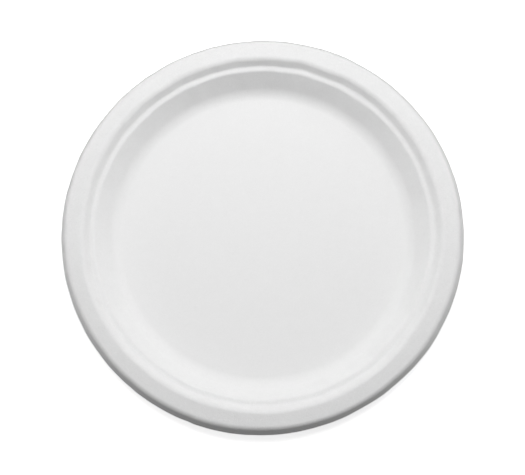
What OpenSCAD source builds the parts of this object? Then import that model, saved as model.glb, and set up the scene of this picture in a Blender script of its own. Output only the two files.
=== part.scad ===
// Round paper plate pressed in one piece from white plant-fibre pulp.
//
// The plate is one thin sheet of even thickness. Going outwards from the
// middle it has a flat floor, a sloping wall, a narrow stacking ledge, a short
// second wall, a broad rim that falls gently outwards, and a lip that turns
// down and ends in a trimmed edge.
//
// Millimetres, +Z up. The origin is the middle of the underside, on the table.

/* [Plate] */
// Overall diameter across the lip
plate_d = 230; // [170:1:270]
// Overall height, from the table to the crest of the rim
plate_h = 17.5; // [15.5:0.5:22]
// Thickness of the pressed pulp
wall_t = 0.8; // [0.6:0.05:1]

/* [Well] */
// Slope of the main wall above the horizontal, in degrees
wall_a = 51; // [42:1:60]
// Radius where the floor runs up into the wall
floor_r = 9; // [8:0.5:12]
// How far the stacking ledge lies below the crest
ledge_drop = 4.3; // [4:0.1:5]
// Width of the stacking ledge before its corners are rounded
ledge_w = 2.9; // [2.8:0.1:4]
// Rise of the ledge towards its outer corner, in degrees
ledge_a = 5; // [2:1:8]

/* [Rim] */
// Distance from the lip's outer edge in to the rim's inner corner
rim_w = 13.1; // [12.5:0.1:16]
// Fall of the rim outwards, in degrees
rim_a = 9; // [4:1:14]
// Slope of the short wall between ledge and rim, in degrees
step_a = 53; // [44:1:58]
// Radius of the crest where the short wall turns into the rim
crest_r = 3.5; // [2.5:0.1:4.4]

/* [Lip] */
// How far the lip's edge hangs below the crest
lip_drop = 8.5; // [7.5:0.5:9.5]
// Slope of the lip above the horizontal, in degrees
lip_a = 68; // [64:1:78]
// Radius where the rim turns down into the lip
lip_r = 3.8; // [2.5:0.1:4]

/* [Hidden] */
$fn = 180;

pulp = [0.93, 0.93, 0.92];  // bleached pulp

// Radii of the ledge's inner and outer corners.
ledge_in_r = 2.2;
ledge_out_r = 2;

// Degrees of turn between two points of an arc.
arc_step = 5;

plate_r = plate_d / 2;
ledge_z = plate_h - ledge_drop;

// Corners of the upper surface before rounding, as [radius, height], from the
// lip inwards. The rim's inner corner stands just above the crest, so that the
// rounded crest lies at plate_h.
crest_t = crest_r * tan((step_a + rim_a) / 2);
corner_rim = [
    plate_r - rim_w,
    plate_h + crest_t * sin(rim_a) - crest_r * (1 - cos(rim_a))
];
lip_edge = [plate_r, plate_h - lip_drop];
// Where the rim's line meets the lip's line.
lip_x = (corner_rim[1] - lip_edge[1] + corner_rim[0] * tan(rim_a)
    - plate_r * tan(lip_a)) / (tan(rim_a) - tan(lip_a));
corner_lip = [lip_x, corner_rim[1] - (lip_x - corner_rim[0]) * tan(rim_a)];
corner_step = [
    corner_rim[0] - (corner_rim[1] - ledge_z) / tan(step_a),
    ledge_z
];
corner_ledge = [
    corner_step[0] - ledge_w,
    ledge_z - ledge_w * tan(ledge_a)
];
corner_floor = [
    corner_ledge[0] - (corner_ledge[1] - wall_t) / tan(wall_a),
    wall_t
];
axis_top = [0, wall_t];

function unit(v) = v / norm(v);
function left(v) = [-v[1], v[0]];
function turned(v, a) = [
    v[0] * cos(a) - v[1] * sin(a),
    v[0] * sin(a) + v[1] * cos(a)
];

// A straight end of the surface, as one [point, upward normal] pair.
function end_point(p, from, to) = [[p, left(unit(to - from))]];

// The rounded corner p1 between p0 and p2, as [point, upward normal] pairs.
function rounded(p0, p1, p2, rad) =
    let (
        u = unit(p1 - p0),
        v = unit(p2 - p1),
        turn = asin(u[0] * v[1] - u[1] * v[0]),
        side = turn > 0 ? 1 : -1,
        reach = rad * tan(abs(turn) / 2),
        centre = p1 - reach * u + side * rad * left(u),
        n = max(2, ceil(abs(turn) / arc_step))
    )
    [for (i = [0 : n])
        let (nrm = turned(left(u), turn * i / n))
        [centre - side * rad * nrm, nrm]
    ];

// The upper surface from the axis out to the lip's edge.
surface_path = concat(
    end_point(axis_top, axis_top, corner_floor),
    rounded(axis_top, corner_floor, corner_ledge, floor_r),
    rounded(corner_floor, corner_ledge, corner_step, ledge_in_r),
    rounded(corner_ledge, corner_step, corner_rim, ledge_out_r),
    rounded(corner_step, corner_rim, corner_lip, crest_r),
    rounded(corner_rim, corner_lip, lip_edge, lip_r),
    end_point(lip_edge, corner_lip, lip_edge)
);

// The sheet's section: the upper surface, and the underside one thickness
// below it, square to it everywhere.
module section() {
    last = len(surface_path) - 1;
    polygon(concat(
        [for (q = surface_path) q[0]],
        [for (i = [last : -1 : 0])
            surface_path[i][0] - wall_t * surface_path[i][1]]
    ));
}

module plate() {
    color(pulp)
        rotate_extrude() section();
}

plate();
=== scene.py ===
"""A round paper plate of white pressed pulp, lying on a pale floor in soft studio light.

Everything is in metres, +Z up, with the origin at the middle of the plate's underside.
The photograph's top is +Y here.
"""

import math

import bpy
import numpy as np
from mathutils import Matrix, Vector


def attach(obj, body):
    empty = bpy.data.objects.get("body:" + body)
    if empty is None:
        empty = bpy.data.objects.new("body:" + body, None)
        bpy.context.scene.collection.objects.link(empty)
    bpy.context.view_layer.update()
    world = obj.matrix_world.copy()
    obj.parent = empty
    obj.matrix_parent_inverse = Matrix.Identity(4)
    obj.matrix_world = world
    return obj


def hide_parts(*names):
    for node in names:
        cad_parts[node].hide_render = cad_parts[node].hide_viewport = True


MM = 0.001

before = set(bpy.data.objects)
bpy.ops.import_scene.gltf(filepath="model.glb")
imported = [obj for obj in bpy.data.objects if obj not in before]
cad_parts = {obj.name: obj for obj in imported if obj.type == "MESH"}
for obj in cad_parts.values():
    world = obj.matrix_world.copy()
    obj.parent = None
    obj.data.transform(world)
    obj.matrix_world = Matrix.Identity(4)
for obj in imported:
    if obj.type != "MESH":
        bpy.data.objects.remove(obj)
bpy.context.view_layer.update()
scene = bpy.context.scene


# ---------------------------------------------------------------- the section

# The same driving sizes as the construction, in millimetres and degrees.
PLATE_D, PLATE_H, WALL_T = 230.0, 17.5, 0.8
WALL_A, FLOOR_R = 51.0, 9.0
LEDGE_DROP, LEDGE_W, LEDGE_A = 4.3, 2.9, 5.0
LEDGE_Z = PLATE_H - LEDGE_DROP
RIM_W, RIM_A, STEP_A, CREST_R = 13.1, 9.0, 53.0, 3.5
LIP_DROP, LIP_A, LIP_R = 8.5, 68.0, 3.8
LEDGE_IN_R, LEDGE_OUT_R = 2.2, 2.0


def tan_d(a):
    return math.tan(math.radians(a))


def section_corners():
    """The upper surface's corners before rounding, as (radius, height), outwards."""
    edge_r = PLATE_D / 2
    crest_t = CREST_R * tan_d((STEP_A + RIM_A) / 2)
    rim = (
        edge_r - RIM_W,
        PLATE_H
        + crest_t * math.sin(math.radians(RIM_A))
        - CREST_R * (1 - math.cos(math.radians(RIM_A))),
    )
    lip_edge = (edge_r, PLATE_H - LIP_DROP)
    x = (
        rim[1] - lip_edge[1] + rim[0] * tan_d(RIM_A) - edge_r * tan_d(LIP_A)
    ) / (tan_d(RIM_A) - tan_d(LIP_A))
    lip = (x, rim[1] - (x - rim[0]) * tan_d(RIM_A))
    step = (rim[0] - (rim[1] - LEDGE_Z) / tan_d(STEP_A), LEDGE_Z)
    ledge = (step[0] - LEDGE_W, LEDGE_Z - LEDGE_W * tan_d(LEDGE_A))
    floor = (ledge[0] - (ledge[1] - WALL_T) / tan_d(WALL_A), WALL_T)
    return [(0.0, WALL_T), floor, ledge, step, rim, lip, lip_edge]


def section_path():
    """The upper surface as (points, normals), from the axis to the lip's edge, finely sampled."""
    c = [np.array(p) for p in section_corners()]
    # radius of each corner, degrees between its points, and the longest straight step after it
    rounding = [
        (FLOOR_R, 2.5, 2.0),
        (LEDGE_IN_R, 6.0, 1.0),
        (LEDGE_OUT_R, 6.0, 1.2),
        (CREST_R, 5.0, 1.6),
        (LIP_R, 5.0, 1.1),
    ]
    pts, nrm = [], []

    def straight(p, q, n, longest):
        """Points between p and q, without either end."""
        k = max(1, math.ceil(np.linalg.norm(q - p) / longest))
        for i in range(1, k):
            pts.append(p + (q - p) * i / k)
            nrm.append(n)

    def unit(v):
        return v / np.linalg.norm(v)

    def left(v):
        return np.array([-v[1], v[0]])

    pts.append(c[0])
    nrm.append(np.array([0.0, 1.0]))
    last, longest = c[0], 3.8
    for k in range(1, 6):
        u, v = unit(c[k] - c[k - 1]), unit(c[k + 1] - c[k])
        radius, every, after = rounding[k - 1]
        turn = math.asin(u[0] * v[1] - u[1] * v[0])
        side = 1 if turn > 0 else -1
        centre = (
            c[k] - radius * math.tan(abs(turn) / 2) * u + side * radius * left(u)
        )
        n = max(2, math.ceil(math.degrees(abs(turn)) / every))
        for i in range(n + 1):
            a = turn * i / n
            lu = left(u)
            nn = np.array(
                [
                    lu[0] * math.cos(a) - lu[1] * math.sin(a),
                    lu[0] * math.sin(a) + lu[1] * math.cos(a),
                ]
            )
            p = centre - side * radius * nn
            if i == 0:
                straight(last, p, lu, longest)
            pts.append(p)
            nrm.append(nn)
        last, longest = pts[-1], after
    n = left(unit(c[6] - c[5]))
    straight(last, c[6], n, longest)
    pts.append(c[6])
    nrm.append(n)
    return np.array(pts), np.array(nrm)


# ---------------------------------------------------------------- unevenness


def waves(count, low, high, seed, slope=1.0):
    """A fixed set of plane waves: wave numbers in cycles per millimetre, phases and weights."""
    rng = np.random.default_rng(seed)
    size = low * (high / low) ** rng.random(count)  # wavelength in mm
    turn = rng.random(count) * 2 * math.pi
    k = 2 * math.pi / size
    weight = (size / high) ** slope
    weight /= math.sqrt((weight**2).sum() / 2)
    return np.c_[k * np.cos(turn), k * np.sin(turn)], rng.random(count) * 2 * math.pi, weight


def field(x, y, made):
    """The sum of the waves at each point, about 1 in standard deviation."""
    k, phase, weight = made
    out = np.zeros_like(x)
    for (kx, ky), p, w in zip(k, phase, weight):
        out += w * np.cos(kx * x + ky * y + p)
    return out


SHEET_WAVE = waves(18, 70, 260, 11)  # how the whole sheet lies
LUMPS = waves(46, 7, 26, 12, 0.8)  # cloudy formation of the pulp
FINE = waves(60, 3.4, 7, 13, 0.6)
WANDER = waves(48, 7, 34, 14, 0.5)  # how the pressed corners wander to and fro


# ---------------------------------------------------------------- the plate's mesh


def build_plate(segments=444):
    top, top_n = section_path()
    under = top - WALL_T * top_n
    # The trimmed edge: the two corners are broken a little, and the cut face lies between them.
    out_n = top_n[-1]
    along = np.array([out_n[1], -out_n[0]])  # down the lip, past its edge
    soft = 0.16
    edge = []
    for deg in (25, 60):
        a = math.radians(deg)
        edge.append(
            top[-1]
            - soft * out_n
            - soft * along
            + soft * (math.cos(a) * out_n + math.sin(a) * along)
        )
    edge.append(top[-1] - 0.35 * WALL_T * out_n)
    edge.append(top[-1] - 0.65 * WALL_T * out_n)
    for deg in (60, 25):
        a = math.radians(deg)
        edge.append(
            under[-1]
            + soft * out_n
            - soft * along
            + soft * (-math.cos(a) * out_n + math.sin(a) * along)
        )
    top = top.copy()
    under = under.copy()
    top[-1] -= soft * along
    under[-1] -= soft * along
    edge = np.array(edge)

    rings = np.vstack([top, edge, under[::-1]])
    n_top, n_edge = len(top), len(edge)
    normals = np.vstack([top_n, np.tile(along, (n_edge, 1)), -top_n[::-1]])
    kind = np.r_[np.zeros(n_top), np.ones(n_edge), np.full(len(under), 2)]

    ang = np.arange(segments) * 2 * math.pi / segments
    ca, sa = np.cos(ang), np.sin(ang)
    verts = []
    index = []  # first vertex of each ring, or of the single point on the axis
    for (r, z), (nr, nz), which in zip(rings, normals, kind):
        index.append((len(verts), r))
        if r < 1e-6:
            verts.append((0.0, 0.0, z, nr, nz, which, 0.0))
            continue
        for c, s in zip(ca, sa):
            verts.append((r * c, r * s, z, nr, nz, which, r))
    v = np.array(verts)
    x, y, z, nr, nz, which, r = v.T

    # The sheet as a whole: nearly flat on its foot, the rim a tenth or two out of true.
    outward = np.clip((r - 82) / 33, 0, 1) ** 1.3
    sway = 0.10 * outward * field(x, y, SHEET_WAVE)
    foot = 0.035 * (1 + np.tanh(field(x, y, SHEET_WAVE) + 0.4)) * (1 - outward)
    # The floor dries with a slight crown, so the plate stands on the floor's outer part.
    foot = foot + 0.45 * np.clip(1 - (r / 80) ** 2, 0, 1)
    # The skin: faint lumps where fibres bunched, on each side by itself, softened at the edge.
    safe_r = np.maximum(r, 1e-9)
    # The rim is pressed less hard than the well, so its skin is rougher.
    loose = 1 + 1.3 * np.clip((r - 88) / 14, 0, 1)
    lump = loose * (0.012 * field(x, y, LUMPS) + 0.004 * field(x, y, FINE))
    lump2 = loose * (0.012 * field(y, x, LUMPS) + 0.005 * field(y, x, FINE))
    skin = np.where(which == 0, lump, np.where(which == 2, lump2 + 0.012, 0.0))
    # The cut edge wanders by a few hundredths.
    theta = np.arctan2(y, x)
    ragged = sum(
        w * np.cos(k * theta + p)
        for k, p, w in ((61, 0.3, 0.010), (97, 1.9, 0.009), (143, 4.0, 0.008), (29, 2.2, 0.012))
    )
    cut = np.where(which == 1, ragged, 0.0)
    # The lip was trimmed a little off centre, so it stands out further on one side, and it was
    # pushed in a little on another.
    out_there = np.clip((r - 109.0) / 6.0, 0, 1)
    pushed = 0.7 * np.exp(-0.5 * ((np.degrees(theta) + 60) / 17) ** 2)
    flare = out_there**2 * (0.22 + 0.34 * np.cos(theta - math.radians(80)) - pushed)
    # The corners of ledge, crest and lip wander a little, because wet pulp fills a mould unevenly.
    wander = 0.15 * np.clip((r - 85) / 8, 0, 1) * field(x, y, WANDER)
    wander *= 1 - 0.55 * np.clip((r - 105) / 7, 0, 1)
    out_by = flare + wander
    near_foot = (which == 2) & (z < 0.4)
    skin = np.where(near_foot, np.maximum(-skin, 0) * -1.0, skin)  # never below the floor
    nx, ny = nr * x / safe_r, nr * y / safe_r
    x = x + nx * (skin + cut) + out_by * x / safe_r
    y = y + ny * (skin + cut) + out_by * y / safe_r
    z = z + nz * (skin + cut) + sway + foot
    co = np.c_[x, y, z] * MM

    faces = []
    mats = []
    for i in range(len(rings) - 1):
        (a, ra), (b, rb) = index[i], index[i + 1]
        m = 0 if i < n_top - 1 else (1 if i < n_top + n_edge else 2)
        for j in range(segments):
            k = (j + 1) % segments
            if ra < 1e-6:
                faces.append((a, b + j, b + k))
            elif rb < 1e-6:
                faces.append((a + j, b, a + k))
            else:
                faces.append((a + j, b + j, b + k, a + k))
            mats.append(m)
    mesh = bpy.data.meshes.new("paper_plate")
    mesh.from_pydata(co.tolist(), [], faces)
    mesh.polygons.foreach_set("material_index", mats)
    mesh.polygons.foreach_set("use_smooth", [True] * len(faces))
    mesh.update()
    obj = bpy.data.objects.new("paper_plate", mesh)
    scene.collection.objects.link(obj)
    return obj


# ---------------------------------------------------------------- materials


class Nodes:
    """A short way to write a node tree."""

    def __init__(self, name):
        self.material = bpy.data.materials.new(name)
        self.material.use_nodes = True
        self.tree = self.material.node_tree
        self.tree.nodes.clear()

    def add(self, kind, **inputs):
        node = self.tree.nodes.new(kind)
        for key, value in inputs.items():
            if key.startswith("_"):
                setattr(node, key[1:], value)
                continue
            socket = (
                node.inputs[int(key[1:])]
                if key[0] == "i" and key[1:].isdigit()
                else node.inputs[key.replace("_", " ")]
            )
            if isinstance(value, bpy.types.NodeSocket):
                self.tree.links.new(value, socket)
            else:
                socket.default_value = value
        return node


def pulp(name, roughness, side):
    """Pressed plant-fibre pulp. side is top, under or edge."""
    n = Nodes(name)
    out = n.add("ShaderNodeOutputMaterial")
    where = n.add("ShaderNodeTexCoord").outputs["Object"]

    def noise(scale, detail=3.0, rough=0.55, vector=where):
        return n.add(
            "ShaderNodeTexNoise",
            Vector=vector,
            Scale=scale,
            Detail=detail,
            Roughness=rough,
        ).outputs["Fac"]

    def math_node(op, a, b=0.0, c=0.0):
        return n.add("ShaderNodeMath", _operation=op, i0=a, i1=b, i2=c).outputs[0]

    def ramp(fac, low, high, to_low, to_high):
        return n.add(
            "ShaderNodeMapRange",
            Value=fac,
            From_Min=low,
            From_Max=high,
            To_Min=to_low,
            To_Max=to_high,
        ).outputs["Result"]

    def strands(cells, curl, half_width, shift):
        """Felted fibres: the borders of bent cells, broken into lengths of a few millimetres."""
        bend = n.add("ShaderNodeTexNoise", Vector=where, Scale=cells * 0.8, Detail=1.0)
        bent = n.add(
            "ShaderNodeVectorMath",
            _operation="MULTIPLY_ADD",
            i0=bend.outputs["Color"],
            i1=(curl, curl, curl),
            i2=where,
        )
        moved = n.add(
            "ShaderNodeVectorMath",
            _operation="ADD",
            i0=bent.outputs["Vector"],
            i1=(shift, -shift, 0.5 * shift),
        ).outputs["Vector"]
        border = n.add(
            "ShaderNodeTexVoronoi",
            _feature="DISTANCE_TO_EDGE",
            Vector=moved,
            Scale=cells,
            Randomness=1.0,
        ).outputs["Distance"]
        line = ramp(border, half_width * cells * 0.4, half_width * cells, 1.0, 0.0)
        kept = ramp(noise(cells * 0.7, 1.0, 0.5, moved), 0.47, 0.56, 0.0, 1.0)
        return math_node("MULTIPLY", line, kept)

    fibres = strands(620, 0.0022, 0.00009, 0.31)
    sunk = strands(830, 0.0018, 0.00008, 0.73)

    cloud = noise(170, 4.0, 0.5)  # formation, 4 to 8 mm
    grain = noise(2600, 3.0, 0.6)  # fines between the fibres

    # Painted light falloff: the colour is a shade lighter in the well and a shade darker on the rim,
    # standing in for light that falls off towards the rim.
    flat = n.add("ShaderNodeVectorMath", _operation="MULTIPLY", i0=where, i1=(1.0, 1.0, 0.0))
    radius = n.add("ShaderNodeVectorMath", _operation="LENGTH", i0=flat.outputs["Vector"])
    painted_falloff = ramp(radius.outputs["Value"], 0.094, 0.101, 0.011, -0.012)
    # The well's skin is smoother than the rim's. The other faces are as rough all over.
    loose = ramp(radius.outputs["Value"], 0.078, 0.104, 0.5 if side == "top" else 1.0, 1.0)

    tone = math_node("MULTIPLY", ramp(cloud, 0.3, 0.7, -1.0, 1.0), 0.007)
    tone = math_node("MULTIPLY_ADD", ramp(grain, 0.3, 0.7, -1.0, 1.0), 0.014, tone)
    tone = math_node("MULTIPLY_ADD", fibres, 0.030, tone)
    tone = math_node("MULTIPLY_ADD", sunk, -0.030, tone)
    # The painted light falloff is added to the colour here.
    tone = math_node("MULTIPLY_ADD", tone, loose, painted_falloff)
    value = math_node("ADD", tone, ALBEDO)
    colour = n.add("ShaderNodeCombineColor", Red=value, Green=value, Blue=value)

    height = math_node("MULTIPLY", ramp(grain, 0.2, 0.8, 0.0, 1.0), 0.35)
    height = math_node("MULTIPLY_ADD", fibres, 0.55, height)
    height = math_node("MULTIPLY_ADD", sunk, -0.45, height)
    height = math_node("MULTIPLY_ADD", noise(700, 3.0, 0.5), 0.9, height)
    depth = {"top": 0.00005, "under": 0.00006, "edge": 0.00009}[side]
    if side == "under":
        # The woven screen that the wet pulp lay on: a fine square weave.
        split = n.add("ShaderNodeSeparateXYZ", Vector=where)
        pitch = 2 * math.pi / 0.00075
        wx = math_node("SINE", math_node("MULTIPLY", split.outputs["X"], pitch))
        wy = math_node("SINE", math_node("MULTIPLY", split.outputs["Y"], pitch))
        weave = math_node("MULTIPLY", wx, wy)
        height = math_node("MULTIPLY_ADD", weave, 0.35, height)
    height = math_node("MULTIPLY", height, loose)
    bump = n.add("ShaderNodeBump", Strength=1.0, Distance=depth, Height=height)

    rough = math_node(
        "MULTIPLY_ADD", ramp(cloud, 0.3, 0.7, -1.0, 1.0), 0.03, roughness
    )
    bsdf = n.add(
        "ShaderNodeBsdfPrincipled",
        Base_Color=colour.outputs["Color"],
        Roughness=rough,
        Normal=bump.outputs["Normal"],
        Metallic=0.0,
        IOR=1.45,
    )
    bsdf.inputs["Specular IOR Level"].default_value = 0.25
    n.tree.links.new(bsdf.outputs["BSDF"], out.inputs["Surface"])
    return n.material


ALBEDO = 0.797

plate = build_plate()
plate.data.materials.append(pulp("pulp_top", 0.72, "top"))
plate.data.materials.append(pulp("pulp_edge", 0.9, "edge"))
plate.data.materials.append(pulp("pulp_under", 0.85, "under"))
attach(plate, "root")
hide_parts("plate")


# ---------------------------------------------------------------- the floor


def unlit_to_others(obj):
    """The studio's white surfaces are seen and shaded, but they throw no light on the plate."""
    obj.visible_diffuse = False
    obj.visible_glossy = False
    obj.visible_transmission = False
    obj.visible_shadow = False
    return obj


def plain_floor():
    n = Nodes("pale_floor")
    out = n.add("ShaderNodeOutputMaterial")
    where = n.add("ShaderNodeTexCoord").outputs["Object"]
    radius = n.add("ShaderNodeVectorMath", _operation="LENGTH", i0=where)
    # Painted shadow: the floor glows less under and just around the plate, so it is darker there like a
    # soft contact shadow, and evenly white further out.
    painted_shadow_glow = n.add(
        "ShaderNodeMapRange",
        _interpolation_type="SMOOTHSTEP",
        Value=radius.outputs["Value"],
        From_Min=0.085,
        From_Max=0.125,
        To_Min=0.25,
        To_Max=0.74,
    )
    diffuse = n.add("ShaderNodeBsdfDiffuse", Color=(0.97, 0.97, 0.97, 1.0), Roughness=0.0)
    glow = n.add(
        "ShaderNodeEmission", Color=(1.0, 1.0, 1.0, 1.0), Strength=painted_shadow_glow.outputs["Result"]
    )
    both = n.add("ShaderNodeAddShader")
    n.tree.links.new(diffuse.outputs[0], both.inputs[0])
    n.tree.links.new(glow.outputs[0], both.inputs[1])
    n.tree.links.new(both.outputs[0], out.inputs["Surface"])
    size = 0.9
    mesh = bpy.data.meshes.new("floor")
    count = 96
    ring = [
        (size * math.cos(2 * math.pi * i / count), size * math.sin(2 * math.pi * i / count), 0)
        for i in range(count)
    ]
    mesh.from_pydata(ring, [], [tuple(range(count))])
    mesh.materials.append(n.material)
    obj = bpy.data.objects.new("floor", mesh)
    scene.collection.objects.link(obj)
    return unlit_to_others(obj)


def white_surround():
    """An evenly white studio: a ball around the scene, and the floor beyond the lit round."""
    n = Nodes("white_surround")
    out = n.add("ShaderNodeOutputMaterial")
    glow = n.add("ShaderNodeEmission", Color=(1.0, 1.0, 1.0, 1.0), Strength=1.05)
    n.tree.links.new(glow.outputs[0], out.inputs["Surface"])
    radius, across, down = 12.0, 64, 32
    rings = [
        [
            (
                radius * math.sin(math.pi * i / down) * math.cos(2 * math.pi * j / across),
                radius * math.sin(math.pi * i / down) * math.sin(2 * math.pi * j / across),
                radius * math.cos(math.pi * i / down),
            )
            for j in range(across)
        ]
        for i in range(1, down)
    ]
    verts = [(0, 0, radius)] + [v for ring in rings for v in ring] + [(0, 0, -radius)]
    faces = []
    for j in range(across):
        k = (j + 1) % across
        faces.append((0, 1 + k, 1 + j))
        last = 1 + (down - 2) * across
        faces.append((len(verts) - 1, last + j, last + k))
        for i in range(down - 2):
            a = 1 + i * across
            faces.append((a + j, a + k, a + across + k, a + across + j))
    mesh = bpy.data.meshes.new("surround")
    mesh.from_pydata(verts, [], faces)
    mesh.materials.append(n.material)
    obj = bpy.data.objects.new("surround", mesh)
    scene.collection.objects.link(obj)
    return unlit_to_others(obj)


floor = plain_floor()
surround = white_surround()


# ---------------------------------------------------------------- light


def area_light(name, off_normal, around, distance, size, watts):
    """A square soft light that faces the plate. around is 0 at the photograph's top, 90 at its right."""
    a, b = math.radians(off_normal), math.radians(around)
    to = Vector((math.sin(a) * math.sin(b), math.sin(a) * math.cos(b), math.cos(a)))
    data = bpy.data.lights.new(name, "AREA")
    data.shape = "DISK"
    data.size = size
    data.energy = watts
    data.color = (1.0, 1.0, 1.0)
    obj = bpy.data.objects.new(name, data)
    obj.location = to * distance + Vector((0, 0, 0.01))
    obj.rotation_mode = "QUATERNION"
    obj.rotation_quaternion = to.to_track_quat("Z", "Y")
    obj.visible_camera = False
    scene.collection.objects.link(obj)
    return obj


# Soft light from above and a little from the photograph's top, with weak ones all round.
area_light("key", 20, 0, 0.6, 0.4, 2.2)
area_light("top_right", 50, 45, 1.6, 1.0, 6.6)
area_light("top_left", 50, 315, 1.6, 1.0, 4.7)
area_light("left", 50, 270, 1.6, 1.0, 1.1)
area_light("right_low", 86, 90, 1.6, 1.0, 3.8)
area_light("left_low", 86, 270, 1.6, 1.0, 4.0)
area_light("right_back", 70, 135, 1.6, 1.0, 2.3)
area_light("left_back", 70, 225, 1.6, 1.0, 0.6)
# What a white table throws back up at the outside of the lip.
area_light("bounce_right", 98, 60, 1.6, 0.5, 3.5)
area_light("bounce_left", 98, 300, 1.6, 0.5, 3.5)

world = bpy.data.worlds.new("studio")
scene.world = world
world.use_nodes = True
world.node_tree.nodes["Background"].inputs["Color"].default_value = (1, 1, 1, 1)
world.node_tree.nodes["Background"].inputs["Strength"].default_value = 0.12

scene.view_settings.view_transform = "Standard"
scene.view_settings.look = "None"
scene.view_settings.exposure = 0.0
scene.view_settings.gamma = 1.0


# ---------------------------------------------------------------- camera


def make_camera():
    """The photograph's view: 11.3 degrees off the plate's axis, from the -Y side, 0.8 m away."""
    width, height = 525, 475
    distance, scale = 800.0, 1.7286  # mm, and pixels per mm at the origin
    origin_px = (262.43, 236.24)  # where the origin lies in the picture
    tilt, roll = math.radians(11.3), math.radians(5.1)
    right = Vector((1, 0, 0))
    up = Vector((0, math.cos(tilt), math.sin(tilt)))
    back = Vector((0, -math.sin(tilt), math.cos(tilt)))
    r = math.cos(roll) * right - math.sin(roll) * up
    u = math.sin(roll) * right + math.cos(roll) * up
    spin = Matrix.Rotation(roll, 3, "Z")  # so that +Y stays the picture's top
    r, u, back = spin @ r, spin @ u, spin @ back
    aim_x = (width / 2 - origin_px[0]) / scale
    aim_y = -(height / 2 - origin_px[1]) / scale
    place = (back * distance + r * aim_x + u * aim_y) * MM
    data = bpy.data.cameras.new("camera")
    data.sensor_fit = "HORIZONTAL"
    data.sensor_width = 36.0
    data.lens = scale * distance / width * 36.0
    data.clip_start, data.clip_end = 0.05, 60.0
    obj = bpy.data.objects.new("camera", data)
    turn = Matrix((r, u, back)).transposed().to_4x4()
    obj.matrix_world = Matrix.Translation(place) @ turn
    scene.collection.objects.link(obj)
    scene.camera = obj
    return obj


make_camera()


# ---------------------------------------------------------------- final update

bpy.context.view_layer.update()
